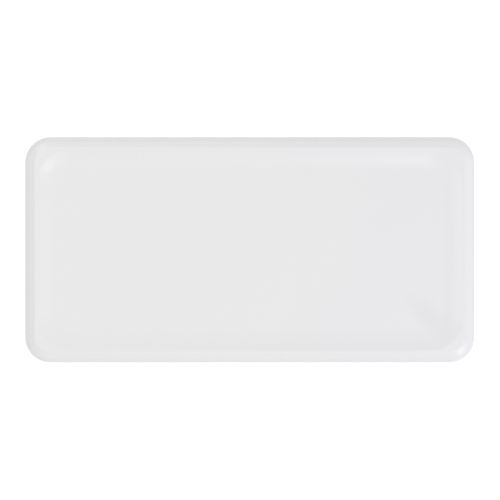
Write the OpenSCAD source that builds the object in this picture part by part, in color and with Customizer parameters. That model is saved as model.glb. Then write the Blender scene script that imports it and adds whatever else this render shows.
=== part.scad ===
// Wet palette: a shallow tray that holds a damp sponge under a sheet of palette
// paper, closed by a lift-off lid with a silicone seal. The lid's top has a raised
// border, and the feet of a second palette can stand in the field inside it.
//
// Frame: +Z up, X along the length, Y across the width. The origin is at the centre
// of the outline, on the plane that the four rubber feet stand on.
// All lengths are in millimetres.
//
// Rings that follow the rounded outline are swept from one flat section. In a section
// x runs outward from the corners' centre line to the lid's outline, and y is height.
// A depth is measured inward from the lid's outline: x = out(depth).

/* [Outline] */
// Length of the lid over its outside
palette_l = 200; // [150:1:320]
// Width of the lid over its outside
palette_w = 100.4; // [84:0.1:220]
// Radius of the lid's corners seen from above
corner_r = 11.3; // [9:0.1:20]

/* [Lid] */
// Thickness of the lid's top and skirt
lid_wall = 2.0; // [1.6:0.1:2.6]
// Radius of the rounding between the lid's shoulder and its skirt
lid_edge_r = 4.2; // [2:0.1:4.6]
// Slope in degrees of the shoulder that runs from the rounding up to the crest
shoulder_angle = 23; // [10:1:30]
// Distance from the lid's outline to the crest of its raised border
crest_inset = 4.8; // [4.6:0.1:6]
// Width of the flat crest on the raised border
crest_w = 0.5; // [0.2:0.1:2]
// Depth of the recessed field inside the raised border
field_depth = 1.5; // [0.5:0.1:2]
// Width of the slope from the raised border down to the field
slope_w = 10; // [4:0.5:12]
// Corner radius of the field at the foot of its slope
field_corner_r = 6; // [3:0.5:12]
// Thickness of the raised border above the seal
seal_land_t = 2.5; // [1.8:0.1:4]
// Thickness of the inner rib that holds the seal
seal_rib_t = 1.2; // [0.8:0.1:2]
// How far the inner rib reaches down past the tray's rim
seal_rib_reach = 1.7; // [0.5:0.1:3]
// Lead-in chamfer inside the lower edge of the skirt
skirt_lead_in = 0.6; // [0.2:0.1:1]
// Chamfer outside the lower edge of the skirt
skirt_break = 0.3; // [0.1:0.1:0.8]

/* [Tray] */
// Height from the tray's underside to the top of its flange
tray_h = 10.1; // [9:0.1:24]
// Thickness of the tray's wall
tray_wall = 1.8; // [1.6:0.1:2.6]
// Thickness of the tray's floor
tray_floor = 2.0; // [1.4:0.1:3]
// Radius of the rounding between the tray's wall and underside
tray_edge_r = 4.0; // [2:0.1:6]
// Thickness of the flange that the skirt comes down to
flange_t = 1.8; // [1.2:0.1:3]
// How far the flange stays inside the lid's outline
flange_setback = 0.3; // [0.1:0.1:1]
// Height of the rim above the flange
rim_h = 6.0; // [4:0.1:10]
// Gap between the rim and the skirt, all round
rim_gap = 0.4; // [0.2:0.05:0.8]
// Gap between the skirt's lower edge and the flange
shadow_gap = 0.3; // [0.1:0.1:1]
// Radius of the finger notches cut in the flange
notch_r = 40; // [20:1:80]
// Width of flange that is left at the middle of a finger notch
notch_land = 0.2; // [0.1:0.1:1]

/* [Centring ribs] */
// Radius of a centring rib
rib_r = 0.9; // [0.6:0.05:1]
// Running clearance between a centring rib and the skirt
rib_clearance = 0.1; // [0.05:0.05:0.3]
// Distance between centring ribs along a side
rib_pitch = 44; // [25:1:90]
// How far a centring rib stops below the top of the rim
rib_stop = 0.8; // [0.3:0.1:2]

/* [Sponge supports] */
// Height of the pips that keep the sponge off the floor
pip_h = 0.8; // [0.4:0.1:2]
// Diameter of a pip
pip_d = 3.0; // [1.5:0.1:5]
// Distance between pips
pip_pitch = 20; // [10:1:40]

/* [Seal] */
// Height of the seal
seal_h = 1.8; // [1.2:0.1:3]
// Clearance between the seal and each side of its groove
seal_side_gap = 0.05; // [0.02:0.01:0.1]
// Clearance between the rim and the inner rib of the groove
groove_gap = 0.4; // [0.2:0.05:0.8]

/* [Sponge and paper] */
// Thickness of the sponge
sponge_t = 6.0; // [3:0.1:8]
// Gap between the sponge and the tray's wall
sponge_gap = 0.8; // [0.6:0.1:3]
// Thickness of the palette paper
paper_t = 0.2; // [0.1:0.05:0.6]
// How far the paper's edge stays inside the sponge's edge
paper_margin = 1.5; // [0.5:0.1:4]

/* [Feet] */
// Diameter of a rubber foot
foot_d = 12; // [6:0.5:16]
// Thickness of a rubber foot
foot_t = 2.4; // [2.2:0.1:3]
// How far a foot stands out below the tray
foot_stand = 1.6; // [1.5:0.1:2]
// Distance from a foot's centre to the lid's outline, along each side
foot_inset = 21.5; // [18:0.5:30]
// Clearance round a foot in its pocket
foot_gap = 0.1; // [0.05:0.05:0.3]
// Width of the chamfer round a foot's lower edge
foot_chamfer = 0.4; // [0.2:0.1:0.6]

/* [Hidden] */
$fn = 96;
// Small overlap where two shapes of one piece would only touch
overlap = 0.01;
// How far a cutting shape runs out of the part
cut_run = 1;
// Smallest rounding inside the tray, where its wall meets the floor
tray_inner_r_min = 0.4;

// Depths inward from the lid's outline
rim_outer = lid_wall + rim_gap;
rim_inner = rim_outer + tray_wall;
groove_inner = rim_inner + groove_gap;
seal_rib_inner = groove_inner + seal_rib_t;
sponge_depth = rim_inner + sponge_gap;
paper_depth = sponge_depth + paper_margin;
shoulder_start = lid_edge_r * (1 - sin(shoulder_angle));
slope_top = crest_inset + crest_w;
field_inset = slope_top + slope_w + field_corner_r;

// Heights above the plane that the feet stand on
tray_z = foot_stand;
floor_z = tray_z + tray_floor;
sponge_z = floor_z + pip_h;
paper_z = sponge_z + sponge_t;
flange_z = tray_z + tray_h;
rim_z = flange_z + rim_h;
skirt_z = flange_z + shadow_gap;
seal_seat_z = rim_z + seal_h;
lid_top_z = seal_seat_z + seal_land_t;
shoulder_z = lid_top_z - (crest_inset - shoulder_start) * tan(shoulder_angle);
skirt_top_z = shoulder_z - lid_edge_r * cos(shoulder_angle);
field_z = lid_top_z - field_depth;
lid_under_z = field_z - lid_wall;

// Radius of the hollow slope, level where it meets the field
slope_r = (slope_w * slope_w + field_depth * field_depth) / (2 * field_depth);

// x of a section for a depth inward from the lid's outline
function out(depth) = corner_r - depth;

// Half distances between corner centres that lie at an inset from the outline
function half_x(inset) = palette_l / 2 - inset;
function half_y(inset) = palette_w / 2 - inset;

// Places for as many marks at a pitch as fit between -half and half, centred
function row(half, pitch) =
    let (n = floor(2 * half / pitch))
    [for (i = [0 : n]) (i - n / 2) * pitch];

// Sweeps a section round the outline: four straight sides and four corners
module around(inset = corner_r) {
    x = half_x(inset);
    y = half_y(inset);
    for (turn = [0, 180]) {
        rotate([0, 0, turn]) translate([x, 0, 0]) side(2 * y) children();
        rotate([0, 0, turn + 90]) translate([y, 0, 0]) side(2 * x) children();
        rotate([0, 0, turn]) translate([x, y, 0]) rotate_extrude(angle = 90) children();
        rotate([0, 0, turn]) translate([-x, y, 0]) rotate([0, 0, 90])
            rotate_extrude(angle = 90) children();
    }
}

// One straight side of a swept ring, centred along its length
module side(length) {
    rotate([90, 0, 0]) translate([0, 0, -length / 2]) linear_extrude(length) children();
}

// The flat part of a plate, inside the corners' centre lines
module plate_centre(z, thickness, inset = corner_r) {
    x = half_x(inset);
    y = half_y(inset);
    translate([-x, -y, z]) cube([2 * x, 2 * y, thickness]);
}

// A rounded rectangle that keeps the same distance from the outline all round
module rounded_sheet(depth, thickness) {
    x = half_x(corner_r);
    y = half_y(corner_r);
    radius = out(depth);
    linear_extrude(thickness) union() {
        square([2 * x, 2 * (y + radius)], center = true);
        square([2 * (x + radius), 2 * y], center = true);
        for (corner_x = [-x, x], corner_y = [-y, y])
            translate([corner_x, corner_y]) circle(radius);
    }
}

// A section from the centre line to x, between two heights
module band(x, z_low, z_high) {
    translate([0, z_low]) square([x, z_high - z_low]);
}

// The upper outer quarter of a disc, which rounds a section's corner
module quarter_disc(radius) {
    intersection() {
        circle(radius);
        square(radius);
    }
}

// Tray

module tray_outer_section() {
    x = out(rim_outer);
    band(x - tray_edge_r, tray_z, rim_z);
    band(x, tray_z + tray_edge_r, rim_z);
    translate([x - tray_edge_r, tray_z + tray_edge_r])
        mirror([0, 1]) quarter_disc(tray_edge_r);
}

module tray_inner_section() {
    x = out(rim_inner);
    radius = max(tray_inner_r_min, tray_edge_r - tray_wall);
    band(x - radius, floor_z, rim_z + cut_run);
    band(x, floor_z + radius, rim_z + cut_run);
    translate([x - radius, floor_z + radius]) mirror([0, 1]) quarter_disc(radius);
}

module flange_section() {
    radius = flange_t / 2;
    root = out(rim_outer + tray_wall / 2);
    tip = out(flange_setback + radius);
    translate([root, flange_z - flange_t]) square([tip - root, flange_t]);
    translate([tip, flange_z - radius]) circle(radius);
}

module tray_section() {
    difference() {
        tray_outer_section();
        tray_inner_section();
    }
    flange_section();
}

// Cylinders that scoop a finger notch out of the flange, front and rear
module finger_notches() {
    centre_y = palette_w / 2 - rim_outer + notch_land + notch_r;
    for (y = [-centre_y, centre_y])
        translate([0, y, flange_z - flange_t - cut_run])
            cylinder(r = notch_r, h = flange_t + 2 * cut_run);
}

// Vertical half-round ribs that centre the lid's skirt on the rim
module centring_ribs() {
    depth = lid_wall + rib_clearance + rib_r;
    for (x = row(half_x(corner_r) - rib_r, rib_pitch), y = [-1, 1])
        translate([x, y * half_y(depth), 0]) centring_rib();
    for (y = row(half_y(corner_r) - rib_r, rib_pitch), x = [-1, 1])
        translate([x * half_x(depth), y, 0]) centring_rib();
}

module centring_rib() {
    translate([0, 0, flange_z - overlap]) cylinder(r = rib_r, h = rim_h - rib_stop);
}

module sponge_pips() {
    edge = rim_inner + tray_edge_r + pip_d;
    for (x = row(palette_l / 2 - edge, pip_pitch), y = row(palette_w / 2 - edge, pip_pitch))
        translate([x, y, floor_z - overlap]) cylinder(d = pip_d, h = pip_h + overlap);
}

// Places of the four feet
module at_foot(x, y) {
    translate([x * half_x(foot_inset), y * half_y(foot_inset), 0]) children();
}

module foot_pockets() {
    for (x = [-1, 1], y = [-1, 1])
        at_foot(x, y) translate([0, 0, -cut_run])
            cylinder(r = foot_d / 2 + foot_gap, h = foot_t + cut_run);
}

module tray() {
    color("whitesmoke") {
        difference() {
            union() {
                around() tray_section();
                plate_centre(tray_z, tray_floor);
            }
            finger_notches();
            foot_pockets();
        }
        centring_ribs();
        sponge_pips();
    }
}

// Lid

// The lid's outside: skirt, rounding, straight shoulder and crest
module lid_outer_section() {
    band(out(crest_inset), skirt_z, lid_top_z);
    band(out(0), skirt_z, skirt_top_z);
    translate([out(lid_edge_r), skirt_top_z]) quarter_disc(lid_edge_r);
    polygon([[out(crest_inset), skirt_z], [out(crest_inset), lid_top_z],
             [out(shoulder_start), shoulder_z], [out(shoulder_start), skirt_z]]);
}

module skirt_chamfers() {
    polygon([[out(lid_wall), skirt_z], [out(lid_wall - skirt_lead_in / 2), skirt_z],
             [out(lid_wall), skirt_z + skirt_lead_in]]);
    polygon([[out(0), skirt_z], [out(skirt_break), skirt_z],
             [out(0), skirt_z + skirt_break]]);
}

module lid_section() {
    rib_z = rim_z - seal_rib_reach;
    difference() {
        lid_outer_section();
        band(out(seal_rib_inner), skirt_z, lid_under_z);
        band(out(lid_wall), skirt_z, rib_z);
        translate([out(groove_inner), rib_z])
            square([groove_inner - lid_wall, seal_seat_z - rib_z]);
        skirt_chamfers();
    }
}

// The hollow above the lid's recessed field, level at the field and steepest at the top
module field_section() {
    height = field_depth + cut_run;
    translate([0, field_z]) square([field_corner_r, height]);
    translate([field_corner_r, field_z]) intersection() {
        translate([0, slope_r]) circle(slope_r);
        square([slope_w, height]);
    }
}

module lid() {
    color("white") difference() {
        union() {
            around() lid_section();
            plate_centre(lid_under_z, lid_top_z - lid_under_z);
        }
        around(field_inset) field_section();
        plate_centre(field_z, field_depth + cut_run, field_inset);
    }
}

// Seal: a strip in the lid's groove that rests on the tray's rim

module seal_section() {
    width = groove_inner - lid_wall - 2 * seal_side_gap;
    translate([out(groove_inner - seal_side_gap), rim_z]) square([width, seal_h]);
}

module lid_seal() {
    color("gainsboro") around() seal_section();
}

// Sponge and paper

module sponge() {
    color("lightsteelblue") translate([0, 0, sponge_z]) rounded_sheet(sponge_depth, sponge_t);
}

module palette_paper() {
    color("ivory") translate([0, 0, paper_z]) rounded_sheet(paper_depth, paper_t);
}

// Feet

module foot_section() {
    radius = foot_d / 2;
    polygon([[0, 0], [radius - foot_chamfer, 0], [radius, foot_chamfer],
             [radius, foot_t], [0, foot_t]]);
}

module foot(x, y) {
    color("dimgray") at_foot(x, y) rotate_extrude() foot_section();
}

tray();
lid();
lid_seal();
sponge();
palette_paper();
foot(-1, -1);  // foot_front_left
foot(1, -1);  // foot_front_right
foot(-1, 1);  // foot_rear_left
foot(1, 1);  // foot_rear_right
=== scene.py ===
"""Looks of the wet palette.

Each piece is a closed mesh, swept round the palette's rounded outline or turned on a
lathe, and stands for the CAD node in the same place. Lengths are metres. A depth is
measured inward from the lid's outline, as in the part's own sections.
"""

import math

import bmesh
import bpy
from mathutils import Matrix, Vector, noise


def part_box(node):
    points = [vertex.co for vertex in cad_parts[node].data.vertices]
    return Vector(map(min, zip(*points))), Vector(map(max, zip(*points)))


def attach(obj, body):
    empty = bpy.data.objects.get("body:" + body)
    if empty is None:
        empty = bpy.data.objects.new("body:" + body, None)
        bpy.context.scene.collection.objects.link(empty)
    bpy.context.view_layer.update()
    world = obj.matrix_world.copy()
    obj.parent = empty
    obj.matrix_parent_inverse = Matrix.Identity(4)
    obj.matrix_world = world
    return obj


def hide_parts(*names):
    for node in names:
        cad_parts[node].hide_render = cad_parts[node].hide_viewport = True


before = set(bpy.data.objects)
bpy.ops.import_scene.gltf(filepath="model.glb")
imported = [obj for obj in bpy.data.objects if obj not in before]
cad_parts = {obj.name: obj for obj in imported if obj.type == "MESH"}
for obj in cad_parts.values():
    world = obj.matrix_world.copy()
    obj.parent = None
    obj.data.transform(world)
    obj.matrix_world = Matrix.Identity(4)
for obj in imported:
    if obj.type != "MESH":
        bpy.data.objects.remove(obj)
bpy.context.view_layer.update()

MM = 0.001

# ---------------------------------------------------------------- sizes

lid_low, lid_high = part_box("lid")
tray_low, tray_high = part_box("tray")
_, seal_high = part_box("lid_seal")
sponge_low, sponge_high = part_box("sponge")
paper_low, paper_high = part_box("palette_paper")
foot_low, foot_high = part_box("foot_rear_right")

LENGTH = lid_high.x - lid_low.x
WIDTH = lid_high.y - lid_low.y
CORNER_R = 11.3 * MM

# Lid
LID_TOP = lid_high.z
SKIRT_Z = lid_low.z
LID_WALL = 2.0 * MM
LID_EDGE_R = 4.2 * MM
SHOULDER_ANGLE = math.radians(23)
CREST_INSET = 4.8 * MM
CREST_R = 1.9 * MM
FIELD_DEPTH = 1.5 * MM
FIELD_EDGE = 15.3 * MM
FIELD_CORNER_R = 6 * MM
FIELD_Z = LID_TOP - FIELD_DEPTH
UNDER_Z = FIELD_Z - LID_WALL
SHOULDER_Z = LID_TOP - CREST_INSET * math.tan(SHOULDER_ANGLE)
SKIRT_TOP_Z = SHOULDER_Z - LID_EDGE_R * math.tan((math.pi / 2 - SHOULDER_ANGLE) / 2)

# Tray
TRAY_Z = tray_low.z
RIM_Z = tray_high.z
FLOOR_Z = TRAY_Z + 2.0 * MM
FLANGE_Z = SKIRT_Z - 0.3 * MM
FLANGE_T = 1.8 * MM
FLANGE_DEPTH = tray_low.x - lid_low.x
TRAY_EDGE_R = 4.0 * MM
TRAY_INNER_R = 2.2 * MM
RIM_OUTER = 2.4 * MM
RIM_INNER = 4.2 * MM
NOTCH_R = 40 * MM
NOTCH_LAND = 0.2 * MM

# Groove, inner rib and seal
GROOVE_INNER = 4.6 * MM
SEAL_RIB_INNER = 5.8 * MM
SEAL_RIB_Z = RIM_Z - 1.7 * MM
SEAT_Z = seal_high.z
SEAL_GAP = 0.05 * MM

# Centring ribs and sponge pips
RIB_R = 0.9 * MM
RIB_DEPTH = LID_WALL + 0.1 * MM + RIB_R
RIB_TOP = RIM_Z - 0.8 * MM
RIB_PITCH = 44 * MM
PIP_R = 1.5 * MM
PIP_PITCH = 20 * MM
PIP_EDGE = 11.2 * MM

# Feet
FOOT_R = (foot_high.x - foot_low.x) / 2
FOOT_T = foot_high.z
POCKET_R = FOOT_R + 0.1 * MM
FOOT_X = (foot_low.x + foot_high.x) / 2
FOOT_Y = (foot_low.y + foot_high.y) / 2
FOOT_PLACES = {
    "foot_front_left": Vector((-FOOT_X, -FOOT_Y, 0)),
    "foot_front_right": Vector((FOOT_X, -FOOT_Y, 0)),
    "foot_rear_left": Vector((-FOOT_X, FOOT_Y, 0)),
    "foot_rear_right": Vector((FOOT_X, FOOT_Y, 0)),
}

# Steps along each side and round each corner of a swept ring
LONG_STEPS = 132
SHORT_STEPS = 58
CORNER_STEPS = 24

# Corner radius of the rings on a flat middle, least radius of any other ring, and
# length of one step round a section's rounded corner
MIDDLE_R = 2 * MM
LEAST_R = 1 * MM
ARC_STEP = 0.3 * MM


# ---------------------------------------------------------------- meshes

def ring(depth, radius, z):
    """Points of a rounded rectangle at a depth inside the outline, anticlockwise."""
    half_x = LENGTH / 2 - depth - radius
    half_y = WIDTH / 2 - depth - radius
    centres = [(half_x, half_y), (-half_x, half_y), (-half_x, -half_y), (half_x, -half_y)]
    points = []
    for corner, (x, y) in enumerate(centres):
        for step in range(CORNER_STEPS):
            angle = (corner + step / CORNER_STEPS) * math.pi / 2
            points.append(Vector((x + radius * math.cos(angle), y + radius * math.sin(angle), z)))
        angle = (corner + 1) * math.pi / 2
        arm = Vector((radius * math.cos(angle), radius * math.sin(angle), z))
        start = Vector((x, y, 0)) + arm
        end = Vector((*centres[(corner + 1) % 4], 0)) + arm
        steps = SHORT_STEPS if corner % 2 else LONG_STEPS
        points += [start.lerp(end, step / steps) for step in range(steps)]
    return points


def outline_ring(depth, z):
    """A ring that follows the outline at an even distance."""
    return ring(depth, max(CORNER_R - depth, LEAST_R), z)


def middle_rings(depths_mm, z):
    """Rings on the wide middle of a flat face."""
    return [ring(depth * MM, MIDDLE_R, z) for depth in depths_mm]


def rounded(corners):
    """Points along a section whose corners (depth, z, radius) are rounded."""
    points = []
    for i, (x, z, radius) in enumerate(corners):
        here = Vector((x, z))
        if radius == 0:
            points.append(here)
            continue
        to_before = (Vector(corners[i - 1][:2]) - here).normalized()
        to_after = (Vector(corners[(i + 1) % len(corners)][:2]) - here).normalized()
        half = to_before.angle(to_after) / 2
        centre = here + (to_before + to_after).normalized() * radius / math.sin(half)
        first = here + to_before * radius / math.tan(half) - centre
        last = here + to_after * radius / math.tan(half) - centre
        turn = first.angle_signed(last)
        steps = 4 + int(radius / ARC_STEP)
        points += [centre + Matrix.Rotation(-turn * k / steps, 2) @ first for k in range(steps + 1)]
    return points


def spread(near, far, count):
    """Depths from near to far, closest together at the near end."""
    crowding = 1.6
    return [near + (far - near) * (step / (count - 1)) ** crowding for step in range(count)]


def section_rings(corners):
    """Outline rings along a rounded section."""
    return [outline_ring(point.x, point.y) for point in rounded(corners)]


def make_object(name, points, faces):
    mesh = bpy.data.meshes.new(name)
    mesh.from_pydata(points, [], faces)
    shape = bmesh.new()
    shape.from_mesh(mesh)
    bmesh.ops.remove_doubles(shape, verts=shape.verts, dist=1e-7)
    bmesh.ops.recalc_face_normals(shape, faces=shape.faces)
    shape.to_mesh(mesh)
    shape.free()
    mesh.shade_smooth()
    made = bpy.data.objects.new(name, mesh)
    bpy.context.scene.collection.objects.link(made)
    return made


def skin(name, rings, ends="capped"):
    """A mesh through a stack of rings, capped at both ends, joined into a loop, or open at its last."""
    count = len(rings[0])
    points = [point for one in rings for point in one]
    pairs = [(k, k + 1) for k in range(len(rings) - 1)]
    if ends == "joined":
        pairs.append((len(rings) - 1, 0))
    faces = []
    for low, high in pairs:
        for i in range(count):
            j = (i + 1) % count
            faces.append((low * count + i, low * count + j, high * count + j, high * count + i))
    if ends != "joined":
        faces.append(tuple(range(count)))
    if ends == "capped":
        faces.append(tuple(range(len(points) - count, len(points))))
    return make_object(name, points, faces)


def lathe(name, profile, place, steps):
    """A turned solid from (radius, z) points, standing at a place."""
    turns = [step / steps * math.tau for step in range(steps)]
    rings = [[place + Vector((radius * math.cos(turn), radius * math.sin(turn), z)) for turn in turns]
             for radius, z in profile]
    return skin(name, rings)


def join(name, parts):
    """One object from several separate shapes."""
    points, faces = [], []
    for part in parts:
        start = len(points)
        points += [vertex.co.copy() for vertex in part.data.vertices]
        faces += [tuple(start + v for v in face.vertices) for face in part.data.polygons]
        bpy.data.objects.remove(part)
    return make_object(name, points, faces)


def apply_modifiers(target):
    bpy.context.view_layer.update()
    graph = bpy.context.evaluated_depsgraph_get()
    mesh = bpy.data.meshes.new_from_object(target.evaluated_get(graph))
    target.modifiers.clear()
    target.data = mesh


def carve(target, tool, operation):
    """Adds a tool's solid to the target or cuts it away, and deletes the tool."""
    modifier = target.modifiers.new("carve", "BOOLEAN")
    modifier.operation = operation
    modifier.solver = "EXACT"
    modifier.object = tool
    apply_modifiers(target)
    bpy.data.objects.remove(tool)


def even_shading(target):
    """Keeps flat faces flat beside their small roundings."""
    target.data.shade_smooth()
    modifier = target.modifiers.new("even_shading", "WEIGHTED_NORMAL")
    modifier.weight = 100
    modifier.keep_sharp = True


def row(half, pitch):
    """As many places at a pitch as fit between -half and half, centred."""
    count = math.floor(2 * half / pitch)
    return [(i - count / 2) * pitch for i in range(count + 1)]


def ejector_marks(z, x_mm, y_mm):
    """Cutter for the shallow round marks of ejector pins and of the gate under a plate."""
    mark_depth = 0.12 * MM
    pin_r = 2.5 * MM
    gate_r = 4 * MM
    low, high = z - 1 * MM, z + mark_depth
    discs = [(x * MM, y * MM, pin_r) for x in x_mm for y in y_mm] + [(0, 0, gate_r)]
    return join("marks", [lathe("mark", [(radius, low), (radius, high)], Vector((x, y, 0)), 40)
                          for x, y, radius in discs])


# ---------------------------------------------------------------- lid

CREST_DEPTH = CREST_INSET + CREST_R * math.tan(SHOULDER_ANGLE / 2)
SLOPE_W = FIELD_EDGE - CREST_DEPTH
SLOPE_ANGLE = 2 * math.atan(FIELD_DEPTH / SLOPE_W)
HOLLOW_R = SLOPE_W / math.sin(SLOPE_ANGLE) - CREST_R
HOLLOW_W = HOLLOW_R * math.sin(SLOPE_ANGLE)


def field_drop(point):
    """How far the lid's top lies below its crest: a hollow slope that meets a round crest."""
    over_x = abs(point.x) - (LENGTH / 2 - FIELD_EDGE - FIELD_CORNER_R)
    over_y = abs(point.y) - (WIDTH / 2 - FIELD_EDGE - FIELD_CORNER_R)
    away = math.hypot(max(over_x, 0), max(over_y, 0)) + min(max(over_x, over_y), 0) - FIELD_CORNER_R
    if away <= 0:
        return FIELD_DEPTH
    if away < HOLLOW_W:
        return FIELD_DEPTH - HOLLOW_R + math.sqrt(HOLLOW_R ** 2 - away ** 2)
    if away < SLOPE_W:
        return CREST_R - math.sqrt(CREST_R ** 2 - (SLOPE_W - away) ** 2)
    return 0


def slope_rings():
    """Rings from the field's edge up to the crest, closest together near the crest."""
    rings = []
    steps = 48
    crowding = 1.5
    for step in range(steps + 1):
        share = (1 - step / steps) ** crowding
        radius = CORNER_R - CREST_DEPTH + share * (FIELD_CORNER_R - CORNER_R + CREST_DEPTH)
        points = ring(CREST_DEPTH + share * SLOPE_W, radius, LID_TOP)
        for point in points:
            point.z -= field_drop(point)
        rings.append(points)
    return rings


def make_lid():
    lead_in = 0.3 * MM
    edge = 0.3 * MM
    groove_edge = 0.2 * MM
    rib_root = 0.6 * MM
    under_start = 9 * MM
    section = [
        (CREST_DEPTH, LID_TOP, 0),
        (CREST_INSET, LID_TOP, CREST_R),
        (0, SHOULDER_Z, LID_EDGE_R),
        (0, SKIRT_Z, edge),
        (LID_WALL - lead_in, SKIRT_Z, edge / 2),
        (LID_WALL, SKIRT_Z + 2 * lead_in, edge),
        (LID_WALL, SEAT_Z, groove_edge),
        (GROOVE_INNER, SEAT_Z, groove_edge),
        (GROOVE_INNER, SEAL_RIB_Z, edge),
        (SEAL_RIB_INNER, SEAL_RIB_Z, edge),
        (SEAL_RIB_INNER, UNDER_Z, rib_root),
        (under_start, UNDER_Z, 0),
    ]
    rings = middle_rings((47, 42, 36, 30, 25, 21, 18), FIELD_Z) + slope_rings()
    rings += section_rings(section)[1:] + middle_rings((14, 20, 26, 32, 38, 43, 47), UNDER_Z)
    lid = skin("lid_shell", rings)
    carve(lid, ejector_marks(UNDER_Z, (-60, -20, 20, 60), (-25, 25)), "DIFFERENCE")
    even_shading(lid)
    return lid


# ---------------------------------------------------------------- tray

def make_tray():
    edge = 0.45 * MM
    flange_edge = FLANGE_T * 0.49
    root_below, root_above = 0.4 * MM, 0.25 * MM
    under_start = 12 * MM
    floor_start = 10 * MM
    section = [
        (under_start, TRAY_Z, 0),
        (RIM_OUTER, TRAY_Z, TRAY_EDGE_R),
        (RIM_OUTER, FLANGE_Z - FLANGE_T, root_below),
        (FLANGE_DEPTH, FLANGE_Z - FLANGE_T, flange_edge),
        (FLANGE_DEPTH, FLANGE_Z, flange_edge),
        (RIM_OUTER, FLANGE_Z, root_above),
        (RIM_OUTER, RIM_Z, edge),
        (RIM_INNER, RIM_Z, edge),
        (RIM_INNER, FLOOR_Z, TRAY_INNER_R),
        (floor_start, FLOOR_Z, 0),
    ]
    rings = middle_rings((47, 38, 30, 22, 16), TRAY_Z) + section_rings(section)
    rings += middle_rings((16, 22, 30, 38, 47), FLOOR_Z)
    for point in (point for one in rings for point in one):
        draw_in_flange(point)
    tray = skin("tray_shell", rings)
    carve(tray, join("standing", centring_ribs() + sponge_pips()), "UNION")
    pocket = [(POCKET_R, TRAY_Z - MM), (POCKET_R, FOOT_T)]
    carve(tray, join("pockets", [lathe("pocket", pocket, place, 72) for place in FOOT_PLACES.values()]),
          "DIFFERENCE")
    carve(tray, ejector_marks(TRAY_Z, (-55, -18, 18, 55), (-30, 30)), "DIFFERENCE")
    even_shading(tray)
    return tray


def draw_in_flange(point):
    """Draws the flange in at the finger notches, in the middle of both long sides."""
    wall = WIDTH / 2 - RIM_OUTER
    stand_out = RIM_OUTER - FLANGE_DEPTH
    over = abs(point.y) - wall
    if over <= 0 or abs(point.x) >= NOTCH_R:
        return
    left = NOTCH_LAND + NOTCH_R - math.sqrt(NOTCH_R ** 2 - point.x ** 2)
    if left < stand_out:
        point.y = math.copysign(wall + over * left / stand_out, point.y)


def centring_ribs():
    """Round ribs on the rim's outside, which centre the lid's skirt."""
    half_x = LENGTH / 2 - RIB_DEPTH
    half_y = WIDTH / 2 - RIB_DEPTH
    places = [(x, y) for x in row(LENGTH / 2 - CORNER_R - RIB_R, RIB_PITCH) for y in (-half_y, half_y)]
    places += [(x, y) for y in row(WIDTH / 2 - CORNER_R - RIB_R, RIB_PITCH) for x in (-half_x, half_x)]
    lead = 0.35 * MM
    sunk = 0.4 * MM
    profile = [(RIB_R, FLANGE_Z - sunk), (RIB_R, RIB_TOP - 2 * lead), (RIB_R - lead, RIB_TOP)]
    return [lathe("rib", profile, Vector((*place, 0)), 40) for place in places]


def sponge_pips():
    """Pips with a fillet at the foot, a slight taper and a rounded top."""
    top = sponge_low.z
    fillet = 0.5 * MM
    sunk = 0.3 * MM
    lip = 0.02 * MM
    taper = 0.05 * MM
    top_in, top_down = 0.3 * MM, 0.15 * MM
    profile = [(PIP_R + fillet, FLOOR_Z - sunk)]
    for step in range(5):
        angle = step / 4 * math.pi / 2
        rise = lip + fillet / 2 * (1 - math.cos(angle))
        profile.append((PIP_R + fillet * (1 - math.sin(angle)), FLOOR_Z + rise))
    profile += [(PIP_R - taper, top - top_down), (PIP_R - top_in, top)]
    columns = row(LENGTH / 2 - PIP_EDGE, PIP_PITCH)
    lines = row(WIDTH / 2 - PIP_EDGE, PIP_PITCH)
    return [lathe("pip", profile, Vector((x, y, 0)), 28) for x in columns for y in lines]


# ---------------------------------------------------------------- seal, sponge, paper, feet

def make_seal():
    """A silicone strip with a bead below, which presses on the tray's rim."""
    outer = LID_WALL + SEAL_GAP
    inner = GROOVE_INNER - SEAL_GAP
    bead = 0.65 * MM
    body_z = RIM_Z + 0.4 * MM
    edge = 0.25 * MM
    crease = 0.1 * MM
    section = [
        (outer, SEAT_Z, edge),
        (inner, SEAT_Z, edge),
        (inner, body_z, edge),
        (inner - bead, body_z, crease),
        (inner - bead, RIM_Z, edge),
        (outer + bead, RIM_Z, edge),
        (outer + bead, body_z, crease),
        (outer, body_z, edge),
    ]
    seal = skin("silicone_seal", section_rings(section), "joined")
    even_shading(seal)
    return seal


def make_sponge():
    """A slab of fine foam, cut with soft edges and pitted all over."""
    depth = sponge_low.x - lid_low.x
    low, high = sponge_low.z, sponge_high.z
    edge = 0.6 * MM
    wall_steps = 8
    face = spread(1 * MM, 41 * MM, 22)
    section = [(depth + inset, low, 0) for inset in reversed(face)]
    section.append((depth, low, edge))
    section += [(depth, low + (high - low) * step / wall_steps, 0) for step in range(1, wall_steps)]
    section.append((depth, high, edge))
    section += [(depth + inset, high, 0) for inset in face]
    sponge = skin("sponge_sheet", section_rings(section))
    normals = [vertex.normal.copy() for vertex in sponge.data.vertices]
    for vertex, normal in zip(sponge.data.vertices, normals):
        place = vertex.co / MM
        coarse = max(0, noise.noise(place * 0.8))
        fine = max(0, noise.noise(place * 2.1 + Vector((7, 3, 1))))
        wave = 0.5 + 0.5 * noise.noise(Vector((place.x * 0.05, place.y * 0.05, 4)))
        pit_mm = 0.02 + 0.2 * coarse + 0.16 * fine + 0.08 * wave
        vertex.co -= normal * pit_mm * MM
    return sponge


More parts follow.
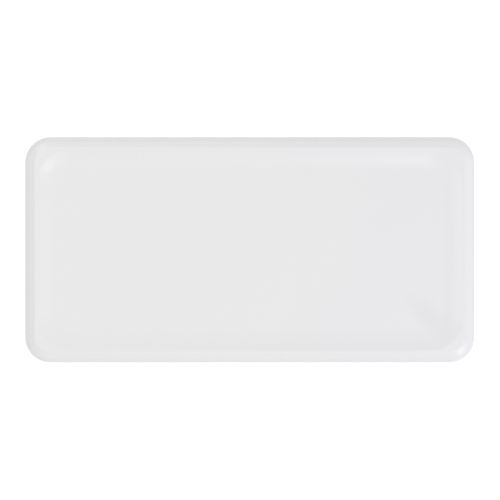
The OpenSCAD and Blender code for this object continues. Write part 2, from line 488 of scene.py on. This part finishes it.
def make_paper():
    """A sheet of palette paper, damp and a little cockled, most of all near its edge."""
    depth = paper_low.x - lid_low.x
    loose_width = 12 * MM
    insets = reversed(spread(0, 40 * MM, 26))
    paper = skin("damp_paper", [outline_ring(depth + inset, paper_low.z) for inset in insets], "open")
    for vertex in paper.data.vertices:
        place = vertex.co / MM
        swell = 0.5 + 0.5 * noise.noise(Vector((place.x * 0.02, place.y * 0.03, 2)))
        cockle = 0.5 + 0.5 * noise.noise(Vector((place.x * 0.075, place.y * 0.05 + place.x * 0.02, 9)))
        edge = min(LENGTH / 2 - abs(vertex.co.x), WIDTH / 2 - abs(vertex.co.y)) - depth
        loose = max(0, 1 - edge / loose_width) ** 2
        rise_mm = 0.06 + 0.16 * swell + (0.22 + 0.22 * loose) * cockle ** 2
        vertex.co.z += rise_mm * MM
    thicken = paper.modifiers.new("thickness", "SOLIDIFY")
    thicken.thickness = 0.1 * MM
    thicken.offset = 0
    apply_modifiers(paper)
    return paper


def make_foot(name, place):
    """A turned rubber foot with two grip grooves in its sole."""
    groove_depth = 0.18 * MM
    half_mouth, half_bottom = 0.35 * MM, 0.2 * MM
    centre = 0.4 * MM
    edge = 0.5 * MM
    top_break = 0.1 * MM
    profile = [(centre, 0)]
    for radius in (2.4 * MM, 4.0 * MM):
        profile += [(radius - half_mouth, 0), (radius - half_bottom, groove_depth)]
        profile += [(radius + half_bottom, groove_depth), (radius + half_mouth, 0)]
    for step in range(7):
        angle = step / 6 * math.pi / 2
        profile.append((FOOT_R - edge * (1 - math.sin(angle)), edge * (1 - math.cos(angle))))
    profile += [(FOOT_R, FOOT_T - top_break), (FOOT_R - top_break, FOOT_T), (centre, FOOT_T)]
    foot = lathe(name + "_pad", profile, place, 96)
    even_shading(foot)
    return foot


# ---------------------------------------------------------------- materials

class Finish:
    """A material and short ways to add nodes to it."""

    def __init__(self, name):
        self.material = bpy.data.materials.new(name)
        self.material.use_nodes = True
        self.tree = self.material.node_tree
        self.shader = self.tree.nodes["Principled BSDF"]
        self.place = self.tree.nodes.new("ShaderNodeTexCoord").outputs["Object"]

    def feed(self, socket, value):
        """Links a node's output to a socket, or sets the socket to a number or a colour."""
        if isinstance(value, bpy.types.NodeSocket):
            self.tree.links.new(value, socket)
        elif isinstance(value, tuple) and socket.type == "RGBA":
            socket.default_value = (*value, 1)
        else:
            socket.default_value = value

    def node(self, kind, output, inputs, **settings):
        made = self.tree.nodes.new(kind)
        for key, value in settings.items():
            setattr(made, key, value)
        for key, value in inputs.items():
            self.feed(made.inputs[key], value)
        return made.outputs[output]

    def placed(self, stretch=(1, 1, 1), turn=0.0):
        return self.node("ShaderNodeMapping", "Vector",
                         {"Vector": self.place, "Scale": stretch, "Rotation": (0, 0, turn)})

    def noise(self, scale, detail=2.0, roughness=0.5, where=None):
        return self.node("ShaderNodeTexNoise", "Fac", {
            "Vector": where or self.place, "Scale": scale, "Detail": detail, "Roughness": roughness})

    def cells(self, scale):
        return self.node("ShaderNodeTexVoronoi", "Distance", {"Vector": self.place, "Scale": scale})

    def ramp(self, value, start, end, low=0.0, high=1.0):
        """Maps start..end to low..high, held at both ends."""
        return self.node("ShaderNodeMapRange", "Result", {
            "Value": value, "From Min": start, "From Max": end, "To Min": low, "To Max": high})

    def math(self, operation, first, second):
        return self.node("ShaderNodeMath", "Value", {0: first, 1: second}, operation=operation)

    def mix(self, share, first, second):
        """A colour between two, by a share from 0 to 1."""
        made = self.tree.nodes.new("ShaderNodeMix")
        made.data_type = "RGBA"
        self.feed(made.inputs["Factor"], share)
        first_socket, second_socket = [socket for socket in made.inputs if socket.type == "RGBA"]
        self.feed(first_socket, first)
        self.feed(second_socket, second)
        return next(socket for socket in made.outputs if socket.type == "RGBA")

    def bump(self, *layers):
        """Bumps from (height, depth in metres) layers."""
        normal = None
        for height, depth in layers:
            inputs = {"Height": height, "Distance": depth}
            if normal:
                inputs["Normal"] = normal
            normal = self.node("ShaderNodeBump", "Normal", inputs)
        return normal

    def shade(self, **inputs):
        """Feeds the shader's inputs, named with _ for a space, and returns the material."""
        for key, value in inputs.items():
            self.feed(self.shader.inputs[key.replace("_", " ")], value)
        return self.material


def moulded_plastic(name, colour, cool, roughness, corner_shade=None):
    """White moulded plastic: a cooler drift of tone, sink marks, a fine skin and hairlines; a patch of
    painted shade if asked.
    """
    finish = Finish(name)
    along = finish.node("ShaderNodeSeparateXYZ", "X", {"Vector": finish.place})
    cloud = finish.ramp(finish.noise(18, 3, 0.5), 0.3, 0.7, -0.03, 0.03)
    drift = finish.ramp(finish.math("ADD", along, cloud), 0.03, 0.065)
    tone = finish.mix(drift, colour, cool)
    # Where asked, a patch of painted shade darkens the tone here.
    if corner_shade:
        shaded_tone = tuple(0.965 * part for part in cool)
        tone = finish.mix(painted_corner_shade(finish, *corner_shade), tone, shaded_tone)
    first = finish.noise(900, 2, 0.5, finish.placed((1, 0.018, 0.2), 0.5))
    second = finish.noise(900, 2, 0.5, finish.placed((0.02, 1, 0.2), 0.3))
    hairs = finish.math("MAXIMUM", finish.ramp(first, 0.7, 0.84), finish.ramp(second, 0.7, 0.84))
    uneven = 0.007
    gloss = finish.ramp(finish.noise(60, 3, 0.6), 0.3, 0.7, roughness - uneven, roughness + uneven)
    fine_skin = (finish.noise(420, 3, 0.5), 0.0035 * MM)
    sink = (finish.noise(22, 1, 0.3), 0.06 * MM)
    scratches = (hairs, -0.0015 * MM)
    normal = finish.bump(fine_skin, sink, scratches)
    return finish.shade(Base_Color=tone, Roughness=gloss, Normal=normal, IOR=1.49)


def painted_corner_shade(finish, centre, reach, turn):
    """A soft patch of painted shade: 1 in the middle, fading to 0, with an uneven edge."""
    spot = finish.node("ShaderNodeMapping", "Vector", {
        "Vector": finish.place, "Location": centre, "Rotation": (0, 0, turn), "Scale": reach},
        vector_type="TEXTURE")
    uneven = finish.node("ShaderNodeTexNoise", "Color", {
        "Vector": finish.place, "Scale": 90.0, "Detail": 2.0})
    shift = finish.node("ShaderNodeVectorMath", "Vector", {0: uneven, 1: (0.5, 0.5, 0.5)},
                        operation="SUBTRACT")
    warped = finish.node("ShaderNodeVectorMath", "Vector", {0: spot, 1: shift}, operation="ADD")
    fade = finish.node("ShaderNodeTexGradient", "Fac", {"Vector": warped}, gradient_type="SPHERICAL")
    return finish.ramp(fade, 0.0, 0.7)


def silicone(name):
    """Clear grey silicone: slightly clouded, with a dusty skin."""
    finish = Finish(name)
    dust = finish.noise(1500, 2, 0.6)
    cloud = finish.ramp(finish.noise(160, 3, 0.6), 0.35, 0.65)
    return finish.shade(Base_Color=finish.mix(cloud, (0.6, 0.62, 0.64), (0.64, 0.66, 0.68)),
                        Roughness=finish.ramp(dust, 0.3, 0.7, 0.38, 0.5),
                        Normal=finish.bump((dust, 0.012 * MM)), IOR=1.41)


def foam(name):
    """Damp cellulose foam: small and large pores over a mottled tone, with painted shade darkening the
    pits.
    """
    finish = Finish(name)
    small = finish.ramp(finish.cells(2300), 0.1, 0.55)
    large = finish.ramp(finish.cells(850), 0.12, 0.5)
    pores_and_pit_shade = finish.math("MULTIPLY", small, large)
    mottle = finish.ramp(finish.noise(60, 4, 0.6), 0.3, 0.7)
    light = finish.mix(mottle, (0.72, 0.715, 0.67), (0.77, 0.77, 0.73))
    # The dark tone in the pits is painted shade; the pores' depth also drives the bump and the
    # roughness.
    return finish.shade(Base_Color=finish.mix(finish.ramp(pores_and_pit_shade, 0, 0.7), (0.5, 0.49, 0.44), light),
                        Roughness=finish.ramp(pores_and_pit_shade, 0, 1, 0.95, 0.75),
                        Normal=finish.bump((pores_and_pit_shade, 0.25 * MM)))


def parchment(name):
    """Damp palette paper: clouded pulp, crossing fibres and patches that took more water."""
    finish = Finish(name)
    cloud = finish.ramp(finish.noise(90, 6, 0.68), 0.34, 0.66)
    fibre = finish.noise(950, 4, 0.7, finish.placed((1, 0.16, 1), 0.35))
    cross = finish.noise(950, 4, 0.7, finish.placed((0.16, 1, 1), -0.2))
    fibres = finish.math("MAXIMUM", fibre, cross)
    damp = finish.noise(16, 3, 0.55)
    dry = finish.mix(cloud, (0.815, 0.79, 0.715), (0.86, 0.84, 0.775))
    wet = finish.mix(cloud, (0.78, 0.752, 0.672), (0.825, 0.802, 0.732))
    pulp = finish.mix(finish.ramp(damp, 0.44, 0.6), dry, wet)
    tone = finish.mix(finish.ramp(fibres, 0.62, 0.8, 0, 0.5), pulp, (0.9, 0.885, 0.83))
    return finish.shade(Base_Color=tone, Roughness=finish.ramp(damp, 0.42, 0.62, 0.58, 0.4),
                        Normal=finish.bump((fibres, 0.02 * MM), (cloud, 0.03 * MM)))


def foot_rubber(name):
    """Dark rubber: scuffed, with a fine grain."""
    finish = Finish(name)
    scuff = finish.noise(220, 4, 0.65)
    tone = finish.mix(finish.ramp(scuff, 0.4, 0.7), (0.11, 0.11, 0.115), (0.16, 0.16, 0.162))
    return finish.shade(Base_Color=tone, Roughness=finish.ramp(scuff, 0.35, 0.7, 0.62, 0.8),
                        Normal=finish.bump((finish.noise(1900, 3, 0.6), 0.03 * MM)))


# ---------------------------------------------------------------- the pieces

def dress(piece, material, body, node):
    """Gives a piece its material and body, and hides the CAD node that it stands for."""
    piece.data.materials.clear()
    piece.data.materials.append(material)
    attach(piece, body)
    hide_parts(node)


# Painted shade in the front-right inner corner of the lid's recess, whose slope faces away from the key
# lamp
corner_shade_centre = (80.5 * MM, -29.5 * MM, FIELD_Z)
corner_shade_reach = (15 * MM, 7 * MM, 20 * MM)
corner_shade_turn = math.radians(-36)
lid_white = moulded_plastic("lid_white", (0.8, 0.8, 0.8), (0.795, 0.79, 0.812), 0.283,
                            corner_shade=(corner_shade_centre, corner_shade_reach, corner_shade_turn))
tray_white = moulded_plastic("tray_white", (0.8, 0.8, 0.8), (0.79, 0.79, 0.79), 0.36)

dress(make_lid(), lid_white, "lid", "lid")
dress(make_tray(), tray_white, "base", "tray")
dress(make_seal(), silicone("clear_silicone"), "lid", "lid_seal")
sponge = make_sponge()
dress(sponge, foam("damp_foam"), "base", "sponge")
paper = make_paper()
dress(paper, parchment("damp_parchment"), "base", "palette_paper")
rubber = foot_rubber("grey_rubber")
for foot_name, foot_place in FOOT_PLACES.items():
    dress(make_foot(foot_name, foot_place), rubber, "base", foot_name)


# ---------------------------------------------------------------- stage, light, camera

def make_floor():
    """A pale floor that is white to the camera and in gloss, and keeps a contact shadow."""
    bpy.ops.mesh.primitive_plane_add(size=8, location=(0, 0, 0))
    floor = bpy.context.object
    floor.name = "floor"
    material = bpy.data.materials.new("floor_paper")
    material.use_nodes = True
    nodes, links = material.node_tree.nodes, material.node_tree.links
    nodes.clear()
    path = nodes.new("ShaderNodeLightPath")
    camera_or_gloss = nodes.new("ShaderNodeMath")
    camera_or_gloss.operation = "MAXIMUM"
    seen = nodes.new("ShaderNodeMath")
    seen.operation = "MAXIMUM"
    plain = nodes.new("ShaderNodeBsdfDiffuse")
    plain.inputs["Color"].default_value = (0.8, 0.8, 0.8, 1)
    shadowed = nodes.new("ShaderNodeBsdfDiffuse")
    shadowed.inputs["Color"].default_value = (0.58, 0.58, 0.58, 1)
    glow = nodes.new("ShaderNodeEmission")
    glow.inputs["Strength"].default_value = 0.68
    white = nodes.new("ShaderNodeAddShader")
    choose = nodes.new("ShaderNodeMixShader")
    output = nodes.new("ShaderNodeOutputMaterial")
    links.new(path.outputs["Is Camera Ray"], camera_or_gloss.inputs[0])
    links.new(path.outputs["Is Glossy Ray"], camera_or_gloss.inputs[1])
    links.new(camera_or_gloss.outputs["Value"], seen.inputs[0])
    links.new(path.outputs["Is Transmission Ray"], seen.inputs[1])
    links.new(shadowed.outputs["BSDF"], white.inputs[0])
    links.new(glow.outputs["Emission"], white.inputs[1])
    links.new(seen.outputs["Value"], choose.inputs["Fac"])
    links.new(plain.outputs["BSDF"], choose.inputs[1])
    links.new(white.outputs["Shader"], choose.inputs[2])
    links.new(choose.outputs["Shader"], output.inputs["Surface"])
    floor.data.materials.append(material)


def make_world(ambient):
    """Even light from all round; white where the camera looks past the floor."""
    world = bpy.data.worlds.new("studio")
    world.use_nodes = True
    bpy.context.scene.world = world
    tree = world.node_tree
    path = tree.nodes.new("ShaderNodeLightPath")
    strength = tree.nodes.new("ShaderNodeMapRange")
    strength.inputs["To Min"].default_value = ambient
    strength.inputs["To Max"].default_value = 1.0
    tree.nodes["Background"].inputs["Color"].default_value = (1, 1, 1, 1)
    tree.links.new(path.outputs["Is Camera Ray"], strength.inputs["Value"])
    tree.links.new(strength.outputs["Result"], tree.nodes["Background"].inputs["Strength"])


def make_lamp(name, azimuth, elevation, size, power, distance=1.4):
    """A square soft lamp, placed by its angles in degrees, that faces the palette."""
    across = math.cos(math.radians(elevation))
    place = distance * Vector((across * math.cos(math.radians(azimuth)),
                               across * math.sin(math.radians(azimuth)),
                               math.sin(math.radians(elevation))))
    data = bpy.data.lights.new(name, "AREA")
    data.shape = "SQUARE"
    data.size = size
    data.energy = power
    lamp = bpy.data.objects.new(name, data)
    lamp.location = place
    lamp.rotation_euler = (-place).to_track_quat("-Z", "Y").to_euler()
    bpy.context.scene.collection.objects.link(lamp)


def make_camera():
    """Straight above, as far as the lid's outline needs to fill its share of the picture."""
    picture_px = 500
    outline_px = 449.5
    off_centre = 0.1 * MM
    data = bpy.data.cameras.new("camera")
    data.lens = 200
    data.sensor_width = 36
    frame_width = LENGTH * picture_px / outline_px
    distance = frame_width * data.lens / data.sensor_width
    camera = bpy.data.objects.new("camera", data)
    camera.location = (off_centre, -off_centre, SKIRT_TOP_Z + distance)
    bpy.context.scene.collection.objects.link(camera)
    bpy.context.scene.camera = camera


make_floor()
make_world(0.59)
# Each lamp's azimuth and elevation in degrees, size in metres and power in watts
make_lamp("key", 315, 44, 0.4, 2.5)
make_lamp("low_key", 315, 22, 0.9, 1.4)
make_lamp("low_front", 270, 22, 0.9, 1.4)
make_lamp("low_right", 0, 22, 0.9, 2.2)
make_lamp("fill", 125, 50, 0.5, 3.7)
make_lamp("high_left", 180, 66, 0.5, 1.5)
make_lamp("high_key", 315, 72, 0.12, 0.95)
make_camera()
bpy.context.scene.view_settings.view_transform = "Standard"
